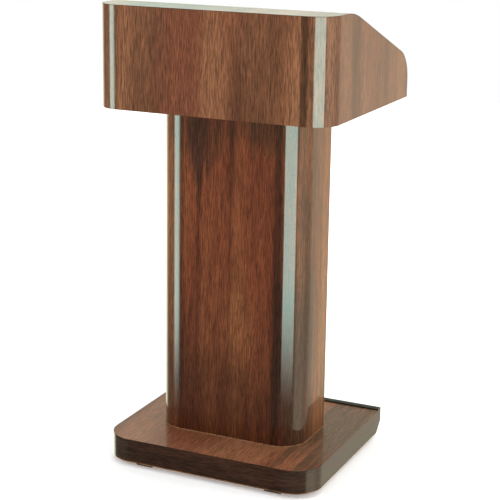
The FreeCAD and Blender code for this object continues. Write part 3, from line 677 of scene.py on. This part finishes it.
def make_head():
    """Bent front and sides of the desk, the sheet on its top and the banding on its sides."""
    behind_bend = head_low.y + HEAD_CORNER
    levels = [point.x for point in under_skin if point.x > behind_bend][:-1]
    stations = wrap_stations(head_high.x, head_low.y, HEAD_CORNER, levels)
    wrap = bent_board("head_bent_board", stations, constant(head_low.z),
                      lambda y: height_at(under_skin, y))
    stand_for(ease(wrap, 0.35 * MM), "root", "head_veneer", head_veneer, "head_wrap")

    rear = laminate_high.y
    levels = [point.x for point in outer_profile if behind_bend < point.x < rear] + [rear]
    sheet = nosed_slab("head_top_sheet", laminate_high.x, laminate_low.y, HEAD_CORNER, levels,
                       lambda y: height_at(under_skin, y), lambda y: height_at(outer_profile, y))
    stand_for(ease(sheet, 0.4 * MM), "root", "top_veneer", top_veneer, "head_top_laminate")
    for side in SIDES:
        make_edge_band(side)


def make_edge_band(side):
    """Banding along the sloping and rear edge of one head side."""
    low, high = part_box(f"head_edge_band_{side}")
    start = laminate_high.y
    outer = [p for p in outer_profile if p.x > start]
    inner = [p for p in under_skin if p.x > start]
    count = min(len(outer), len(inner))
    outer = [Vector((start, height_at(outer_profile, start)))] + outer[-count:]
    inner = [Vector((start, height_at(under_skin, start)))] + inner[-count:]
    rings = [
        [
            Vector((low.x, over.x, over.y)),
            Vector((high.x, over.x, over.y)),
            Vector((high.x, under.x, under.y)),
            Vector((low.x, under.x, under.y)),
        ]
        for over, under in zip(outer, inner)
    ]
    band = loft(f"head_edge_tape_{side}", rings)
    stand_for(ease(band, 0.35 * MM), "root", "edge_band", edge_band, f"head_edge_band_{side}")


def make_column():
    """Bent front and sides of the column."""
    stations = wrap_stations(column_high.x, column_low.y, COLUMN_CORNER, [column_high.y])
    wrap = bent_board("column_bent_board", stations, constant(column_low.z), constant(column_high.z))
    stand_for(ease(wrap, 0.5 * MM), "root", "column_veneer", column_veneer, "column_wrap")


def make_base():
    """Bent front and sides of the base, and the sheet on its top."""
    relief_start = base_high.y - BASE_RELIEF
    stations = wrap_stations(base_high.x, base_low.y, BASE_CORNER, [relief_start, base_high.y])
    apron = bent_board("base_bent_board", stations,
                       lambda y: base_low.z + max(0.0, y - relief_start), constant(base_high.z))
    stand_for(ease(apron, 0.5 * MM), "root", "base_veneer", base_veneer, "base_apron")

    low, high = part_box("base_top_laminate")
    sheet = nosed_slab("base_top_sheet", high.x, low.y, BASE_CORNER, [high.y],
                       constant(low.z), constant(high.z))
    stand_for(ease(sheet, 0.4 * MM), "root", "top_veneer", top_veneer, "base_top_laminate")


# ---------- Desk and mouldings ----------
def make_book_stop():
    """Rounded ledge square to the reading surface."""
    low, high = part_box("book_stop")
    down_slope = Vector((0, math.cos(DESK_SLOPE), -math.sin(DESK_SLOPE)))
    off_slope = Vector((0, math.sin(DESK_SLOPE), math.cos(DESK_SLOPE)))
    foot = Vector((0, low.y, low.z + BOARD * math.sin(DESK_SLOPE)))
    outline = rounded([
        (0, 0, 1 * MM),
        (BOARD, 0, 1 * MM),
        (BOARD, STOP_HEIGHT, STOP_ROUND),
        (0, STOP_HEIGHT, STOP_ROUND),
    ], 8)
    rings = [
        [Vector((x, 0, 0)) + foot + down_slope * p.x + off_slope * p.y for p in outline]
        for x in (low.x, high.x)
    ]
    stop = loft("book_ledge", rings)
    stand_for(ease(stop, 1.2 * MM, 3), "root", "top_veneer", stop_veneer, "book_stop")


def make_scuff_strip():
    """Ribbed black moulding along the rear edge of the base."""
    ribs = 6
    groove = 0.9 * MM
    edge_drop = 1.5 * MM
    edge_inset = 0.3 * MM
    # A rib as shares of the pitch and of the groove's depth
    rib_shape = ((0, 1), (0.12, 0.25), (0.28, 0), (0.58, 0), (0.74, 0.25), (0.86, 1))
    low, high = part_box("scuff_strip")
    pitch = (high.y - low.y - 2 * groove) / ribs
    outline = [(low.y, low.z), (low.y, high.z - edge_drop), (low.y + edge_inset, high.z - groove)]
    for rib in range(ribs):
        start = low.y + groove + rib * pitch
        outline += [(start + pitch * along, high.z - groove * deep) for along, deep in rib_shape]
    outline += [(high.y - edge_inset, high.z - groove), (high.y, high.z - edge_drop), (high.y, low.z)]
    strip = loft("ribbed_strip", [[Vector((x, y, z)) for y, z in outline] for x in (low.x, high.x)])
    stand_for(ease(strip, 0.15 * MM, 1), "root", "scuff_black", scuff_black, "scuff_strip")


# ---------- Wheels ----------
def make_tyre(side):
    """Rubber tyre with rounded shoulders and two grooves round it."""
    low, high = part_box(f"wheel_tyre_{side}")
    centre = (low + high) / 2
    radius = (high.z - low.z) / 2
    half = (high.x - low.x) / 2
    inner = 21 * MM
    groove_floor = radius - 1.1 * MM
    groove_place = 2.6 * MM
    shoulder = [
        (inner, half),
        (radius - 3 * MM, half),
        (radius - 1 * MM, half - 0.9 * MM),
        (radius - 0.25 * MM, half - 2.2 * MM),
        (radius, half - 3.4 * MM),
    ]
    section = [(distance, -x) for distance, x in shoulder]
    for x in (-groove_place, groove_place):
        section += [
            (radius, x - 0.9 * MM),
            (groove_floor, x - 0.5 * MM),
            (groove_floor, x + 0.5 * MM),
            (radius, x + 0.9 * MM),
        ]
    section += reversed(shoulder)
    tyre = ring_about_x(f"tyre_{side}", centre, section)
    stand_for(tyre, f"{side}_wheel", "tyre_rubber", tyre_rubber, f"wheel_tyre_{side}")


def make_hub(side):
    """Moulded hub: boss, web and rim, with ribs across the web on both faces."""
    low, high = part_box(f"wheel_hub_{side}")
    centre = (low + high) / 2
    rim = (high.z - low.z) / 2
    boss_half = (high.x - low.x) / 2
    bore, boss, rim_inside = 4.06 * MM, 9 * MM, 18 * MM
    web_half, rim_half = 3 * MM, 8 * MM
    draft, fillet = 0.4 * MM, 0.6 * MM
    half_section = [
        (bore, boss_half),
        (boss - draft, boss_half),
        (boss + draft, web_half + fillet),
        (boss + 1 * MM, web_half),
        (rim_inside - 1 * MM, web_half),
        (rim_inside - draft, web_half + fillet),
        (rim_inside + draft, rim_half),
        (rim, rim_half),
    ]
    section = half_section + [(radius, -x) for radius, x in reversed(half_section)]
    hub = ring_about_x(f"hub_{side}", centre, section)
    combine(hub, hub_ribs(centre, boss, rim_inside, rim_half), "UNION")
    ease(hub, 0.3 * MM)
    stand_for(hub, f"{side}_wheel", "wheel_plastic", wheel_plastic, f"wheel_hub_{side}")


def hub_ribs(centre, boss, rim_inside, rim_half):
    """Six ribs that run from the boss into the rim, thinner towards both faces of the wheel."""
    ribs = 6
    half_thick = 0.9 * MM
    thin = 0.7
    reach = rim_half - 1.5 * MM
    overlap = 1 * MM
    outline = [(-reach, thin), (0, 1), (reach, thin), (reach, -thin), (0, -1), (-reach, -thin)]
    count = len(outline)
    points = []
    faces = []
    for rib in range(ribs):
        angle = 2 * math.pi * rib / ribs
        outward = Vector((0, math.cos(angle), math.sin(angle)))
        aside = Vector((0, -math.sin(angle), math.cos(angle)))
        near = len(points)
        far = near + count
        for radius in (boss - overlap, rim_inside + overlap):
            for x, share in outline:
                points.append(centre + outward * radius + aside * half_thick * share + Vector((x, 0, 0)))
        for k in range(count):
            following = (k + 1) % count
            faces.append((near + k, near + following, far + following, far + k))
        faces.append(tuple(reversed(range(near, far))))
        faces.append(tuple(range(far, far + count)))
    return new_piece("hub_ribs", points, faces)


# ---------- Screws ----------
def islands(node):
    """The corner points of each separate solid of a CAD node."""
    work = bmesh.new()
    work.from_mesh(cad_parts[node].data)
    bmesh.ops.remove_doubles(work, verts=work.verts, dist=SOLID_GAP)
    waiting = set(work.verts)
    found = []
    while waiting:
        todo = [waiting.pop()]
        island = []
        while todo:
            vertex = todo.pop()
            island.append(vertex.co.copy())
            for edge in vertex.link_edges:
                other = edge.other_vert(vertex)
                if other in waiting:
                    waiting.remove(other)
                    todo.append(other)
        found.append(island)
    work.free()

    def middle(island):
        return tuple(round(value, 5) for value in sum(island, Vector()) / len(island))

    return sorted(found, key=middle)


def screw_shape(length):
    """Pan-head wood screw with a cross recess; the head's top is at 0 and the point on +Z."""
    neck = SCREW_HEAD_HEIGHT
    edge = SCREW_HEAD_RADIUS - SCREW_DOME
    crown = 0.3 * MM
    chamfer = 0.2 * MM
    point = 0.2 * MM
    outline = [(crown, 0.0)]
    for k in range(DOME_STEPS + 1):
        angle = QUARTER * k / DOME_STEPS
        outline.append((edge + SCREW_DOME * math.sin(angle), SCREW_DOME * (1 - math.cos(angle))))
    outline += [(SCREW_HEAD_RADIUS, neck - chamfer), (SCREW_HEAD_RADIUS - chamfer, neck)]
    outline += [(SCREW_SHANK, neck), (SCREW_SHANK, length - SCREW_TIP), (point, length)]
    screw = loft("screw", [level_circle(radius, z) for radius, z in outline])
    for arm in (Vector((1, 0, 0)), Vector((0, 1, 0))):
        combine(screw, recess_slot(arm), "DIFFERENCE")
    return screw


def level_circle(radius, z):
    """Points round the Z axis at height z."""
    angles = [2 * math.pi * k / SCREW_STEPS for k in range(SCREW_STEPS)]
    return [Vector((math.cos(a), math.sin(a), 0)) * radius + Vector((0, 0, z)) for a in angles]


def recess_slot(arm):
    """One tapered arm of the cross recess, from above the head to the recess's floor."""
    side = Vector((0, 0, 1)).cross(arm)
    mouth = (-0.5 * MM, 2.1 * MM, 0.5 * MM)
    floor = (1.5 * MM, 1.0 * MM, 0.32 * MM)
    rings = []
    for z, half_length, half_width in (mouth, floor):
        rings.append([
            arm * half_length * a + side * half_width * b + Vector((0, 0, z))
            for a, b in ((-1, -1), (1, -1), (1, 1), (-1, 1))
        ])
    return loft("recess_slot", rings)


def make_screws(name, node, direction):
    """One recessed screw for each solid of a node; direction runs from head to point."""
    direction = direction.normalized()
    turn = direction.to_track_quat("Z", "Y").to_matrix()
    pattern = None
    points = []
    faces = []
    for island in islands(node):
        along = [p.dot(direction) for p in island]
        if pattern is None:
            pattern = screw_shape(max(along) - min(along))
        local = [turn.transposed() @ p for p in island]
        middle = Vector([(min(p[i] for p in local) + max(p[i] for p in local)) / 2 for i in range(3)])
        middle.z = min(p.z for p in local)
        first = len(points)
        points += [turn @ (middle + vertex.co) for vertex in pattern.data.vertices]
        faces += [tuple(first + v for v in face.vertices) for face in pattern.data.polygons]
    bpy.data.objects.remove(pattern)
    screws = new_piece(name, points, faces)
    normals = screws.modifiers.new("normals", "WEIGHTED_NORMAL")
    normals.keep_sharp = False
    stand_for(screws, "root", "screw_steel", screw_steel, node)


def make_all_screws():
    """Screws by the way they point."""
    up = Vector((0, 0, 1))
    to_front = Vector((0, -1, 0))
    off_slope = Vector((0, math.sin(DESK_SLOPE), math.cos(DESK_SLOPE)))
    up_slope = Vector((0, -math.cos(DESK_SLOPE), math.sin(DESK_SLOPE)))
    make_screws("rear_panel_pan_heads", "rear_panel_screws", to_front)
    make_screws("foot_pan_heads", "foot_screws", up)
    make_screws("bracket_pan_heads", "bracket_screws", up)
    make_screws("desk_pan_heads", "reading_surface_screws", off_slope)
    make_screws("ledge_pan_heads", "book_stop_screws", up_slope)


# ---------- CAD nodes that stay as they are ----------
def dress_cad_nodes():
    """Material, and nearly always eased edges, of every node that has no own mesh here."""
    dress("head_top_panel", inner_board, 0.3 * MM)
    dress("head_floor", inner_board, 0.5 * MM)
    dress("base_deck", inner_board, 0.4 * MM)
    dress("reading_surface", top_veneer, 0.5 * MM)
    dress("column_rear_panel", column_veneer, 0.5 * MM)
    dress("base_rear_rail", base_veneer, 0.5 * MM)
    dress("column_top_plate", pine_sideways, 0.4 * MM)
    dress("column_bottom_plate", pine_sideways, 0.4 * MM)
    for side in SIDES:
        dress(f"reading_cleat_{side}", pine_back, 0.8 * MM)
        dress(f"column_cleat_{side}", pine_up, 0.8 * MM)
        dress(f"base_batten_{side}", pine_back, 0.8 * MM)
        dress(f"foot_block_{side}", pine_sideways, 0.8 * MM)
        dress(f"front_foot_{side}", foot_black, 1.0 * MM)
        dress(f"wheel_bracket_{side}", zinc_steel, 0.5 * MM)
        dress(f"wheel_axle_{side}", zinc_steel, 0.3 * MM)
        dress(f"axle_clip_{side}", zinc_steel, 0.15 * MM)
    for place in ("head", "base"):
        dress(f"{place}_bolt_washers", zinc_steel, 0.2 * MM)
        dress(f"{place}_bolts", zinc_steel, 0.5 * MM)
        dress(f"{place}_bolt_inserts", zinc_steel)


# ---------- Studio: floor, surround, lamps and camera ----------
WHITE = (1.0, 1.0, 1.0, 1.0)

# Floor; its own glow rises with distance, so that it meets the white surround without a horizon
FLOOR_HALF = 6.0
FLOOR_DIVISIONS = 24
GLOW_NEAR, GLOW_FAR = 0.3, 0.9
GLOW_FROM, GLOW_TO = 0.5, 2.6

# Surround. Directions are degrees: azimuth 0 is -Y and 90 is +X, elevation 0 is the horizon.
# Areas are (from, to), and SOFT is how far their edges fade to each side.
# Azimuths run on from AZIMUTH_START for a full turn, so that no area is cut behind the lectern.
AZIMUTH_START = -100.0
FULL_TURN = 360.0

# Two soft boxes in front, which the bends mirror as upright strips
RIGHT_BOX = (16, 64)
RIGHT_SOFT = 2
LEFT_BOX = (-60, -36)
LEFT_SOFT = 6
BOX_HEIGHT = (-19, 4)
HEIGHT_SOFT = 2.5
BOX_GLOW = 9.2
BOX_TINT = (0.68, 1.0, 0.89, 1.0)

# A low bright strip behind, which only the flat top of the head mirrors towards the camera
LOW_STRIP = (150, 250)
LOW_HEIGHT = (2, 10)
LOW_SOFT = 1
LOW_GLOW = 2.3

# Room: pale walls at the right and behind, a dimmer gap between them, dark in front, pale ceiling
SIDE_WALL = (70, 188)
REAR_WALL = (205, 250)
WALL_SOFT = 8
WALL_GLOW = 0.62
GAP_GLOW = 0.30
FRONT_GLOW = 0.08
CEILING_HEIGHT = (50, 70)
CEILING_GLOW = 0.5
ROOM_TINT = (1.0, 0.98, 0.76, 1.0)

# How much brighter the room is in reflections than as a light
ROOM_SHEEN = 2.3

# Name, place, size and power of each lamp
LAMPS = (
    ("overhead", Vector((0.2, 0.0, 3.4)), 2.4, 36.0),
    ("front_left", Vector((-2.2, -3.0, 2.8)), 1.8, 66.0),
    ("front_right", Vector((2.4, -2.6, 2.6)), 1.8, 40.0),
    ("side_right", Vector((3.3, -0.2, 1.6)), 1.8, 26.0),
    ("rear", Vector((-0.6, 3.2, 2.6)), 2.0, 40.0),
)
LAMP_TARGET = Vector((0.0, 0.0, 0.6))

# Camera, matched to the outlines of the lectern in the photograph
CAMERA_PLACE = Vector((1.544, -3.404, 1.557))
CAMERA_YAW = math.radians(24.52)
CAMERA_PITCH = math.radians(13.51)
CAMERA_ROLL = math.radians(0.83)
CAMERA_LENS = 105.1
CAMERA_SHIFT = -0.08


def make_floor():
    """Plain pale floor, hidden from mirror reflections so that the gloss shows the studio."""
    step = 2 * FLOOR_HALF / FLOOR_DIVISIONS
    edge = range(FLOOR_DIVISIONS + 1)
    points = [(-FLOOR_HALF + step * i, -FLOOR_HALF + step * k, 0.0) for k in edge for i in edge]
    row = FLOOR_DIVISIONS + 1
    faces = [
        (k * row + i, k * row + i + 1, (k + 1) * row + i + 1, (k + 1) * row + i)
        for k in range(FLOOR_DIVISIONS) for i in range(FLOOR_DIVISIONS)
    ]
    floor = new_piece("studio_floor", points, faces)
    paper = Finish("pale_paper")
    fleck = paper.noise(paper.point, 40, 3)
    colour = paper.ramp(fleck, [(0.3, linear(236, 238, 246)), (0.7, linear(242, 244, 251))])
    distance = paper.add("VectorMath", {0: paper.point}, "Value", operation="LENGTH")
    glow = paper.spread(distance, GLOW_FROM, GLOW_TO, GLOW_NEAR, GLOW_FAR)
    paper.set(Base_Color=colour, Roughness=0.9, Specular_IOR_Level=0.1)
    floor.data.materials.append(paper.set(Emission_Color=WHITE, Emission_Strength=glow))
    floor.visible_glossy = False


class Sky(Graph):
    """World shader with areas of light that are placed by direction."""

    def __init__(self, tree):
        super().__init__(tree)
        direction = self.add("TexCoord", {}, "Generated")
        x, y, z = [self.add("SeparateXYZ", {0: direction}, axis) for axis in (X, Y, Z)]
        azimuth = self.math("DEGREES", self.math("ARCTAN2", x, self.math("MULTIPLY", y, -1.0)))
        turn_on = self.math("MULTIPLY", self.math("LESS_THAN", azimuth, AZIMUTH_START), FULL_TURN)
        self.azimuth = self.math("ADD", azimuth, turn_on)
        self.elevation = self.math("DEGREES", self.math("ARCSINE", z))

    def window(self, value, low, high, soft):
        """1 where value is between low and high, fading to 0 across both edges."""
        rise = self.spread(value, low - soft, low + soft)
        fall = self.spread(value, high - soft, high + soft, 1, 0)
        return self.math("MULTIPLY", rise, fall)

    def soft_boxes(self):
        """Strength of the two soft boxes."""
        right = self.window(self.azimuth, *RIGHT_BOX, RIGHT_SOFT)
        left = self.window(self.azimuth, *LEFT_BOX, LEFT_SOFT)
        upright = self.window(self.elevation, *BOX_HEIGHT, HEIGHT_SOFT)
        boxes = self.math("MULTIPLY", self.math("ADD", right, left), upright)
        return self.math("MULTIPLY", boxes, BOX_GLOW)

    def low_strip(self):
        """1 on the low strip behind."""
        around = self.window(self.azimuth, *LOW_STRIP, WALL_SOFT)
        return self.math("MULTIPLY", around, self.window(self.elevation, *LOW_HEIGHT, LOW_SOFT))

    def room(self):
        """Strength of the walls and the ceiling, raised in reflections."""
        side = self.window(self.azimuth, *SIDE_WALL, WALL_SOFT)
        rear = self.window(self.azimuth, *REAR_WALL, WALL_SOFT)
        walls = self.math("MULTIPLY", self.math("ADD", side, rear), WALL_GLOW - GAP_GLOW)
        both = self.window(self.azimuth, SIDE_WALL[0], REAR_WALL[1], WALL_SOFT)
        walls = self.math("ADD", walls, self.math("MULTIPLY", both, GAP_GLOW))
        ceiling = self.spread(self.elevation, *CEILING_HEIGHT, 0, CEILING_GLOW)
        glow = self.math("ADD", walls, self.math("ADD", ceiling, FRONT_GLOW))
        mirrored = self.add("LightPath", {}, "Is Glossy Ray")
        sheen = self.add("MapRange", {"Value": mirrored, "To Min": 1.0, "To Max": ROOM_SHEEN})
        return self.math("MULTIPLY", glow, sheen)


def make_surround():
    """The studio round the lectern as a world; the camera itself sees plain white instead."""
    world = bpy.data.worlds.new("studio")
    world.use_nodes = True
    bpy.context.scene.world = world
    sky = Sky(world.node_tree)
    strip = sky.low_strip()
    boxes = sky.math("ADD", sky.soft_boxes(), sky.math("MULTIPLY", strip, LOW_GLOW))
    room = sky.math("MULTIPLY", sky.room(), sky.math("SUBTRACT", 1.0, strip))
    lit_boxes = sky.add("Background", {"Color": BOX_TINT, "Strength": boxes})
    lit_room = sky.add("Background", {"Color": ROOM_TINT, "Strength": room})
    studio = sky.add("AddShader", {0: lit_boxes, 1: lit_room})
    plain = sky.add("Background", {"Color": WHITE, "Strength": 1.0})
    seen = sky.add("LightPath", {}, "Is Camera Ray")
    shown = sky.add("MixShader", {0: seen, 1: studio, 2: plain})
    output = sky.tree.nodes.new("ShaderNodeOutputWorld")
    sky.tree.links.new(shown, output.inputs[0])


def make_lamp(name, place, size, power):
    """A soft square lamp aimed at the middle of the lectern."""
    data = bpy.data.lights.new(name, "AREA")
    data.shape = "SQUARE"
    data.size = size
    data.energy = power
    lamp = bpy.data.objects.new(name, data)
    lamp.location = place
    lamp.rotation_mode = "QUATERNION"
    lamp.rotation_quaternion = (place - LAMP_TARGET).to_track_quat("Z", "Y")
    lamp.visible_camera = False
    lamp.visible_glossy = False
    bpy.context.scene.collection.objects.link(lamp)


def make_camera():
    """The photograph's point of view."""
    data = bpy.data.cameras.new("camera")
    data.lens = CAMERA_LENS
    data.sensor_width = 36.0
    data.shift_y = CAMERA_SHIFT
    camera = bpy.data.objects.new("camera", data)
    turn = Matrix.Rotation(CAMERA_YAW, 4, "Z")
    tilt = Matrix.Rotation(QUARTER - CAMERA_PITCH, 4, "X")
    roll = Matrix.Rotation(CAMERA_ROLL, 4, "Z")
    camera.matrix_world = Matrix.Translation(CAMERA_PLACE) @ turn @ tilt @ roll
    bpy.context.scene.collection.objects.link(camera)
    bpy.context.scene.camera = camera


def set_look():
    """Colours are shown as they are, without a film look."""
    view = bpy.context.scene.view_settings
    view.view_transform = "Standard"
    view.look = "None"
    view.exposure = 0.0
    view.gamma = 1.0


make_camera()
set_look()
make_surround()
make_floor()
for lamp_settings in LAMPS:
    make_lamp(*lamp_settings)
make_head()
make_column()
make_base()
make_book_stop()
make_scuff_strip()
for side_name in SIDES:
    make_tyre(side_name)
    make_hub(side_name)
make_all_screws()
dress_cad_nodes()
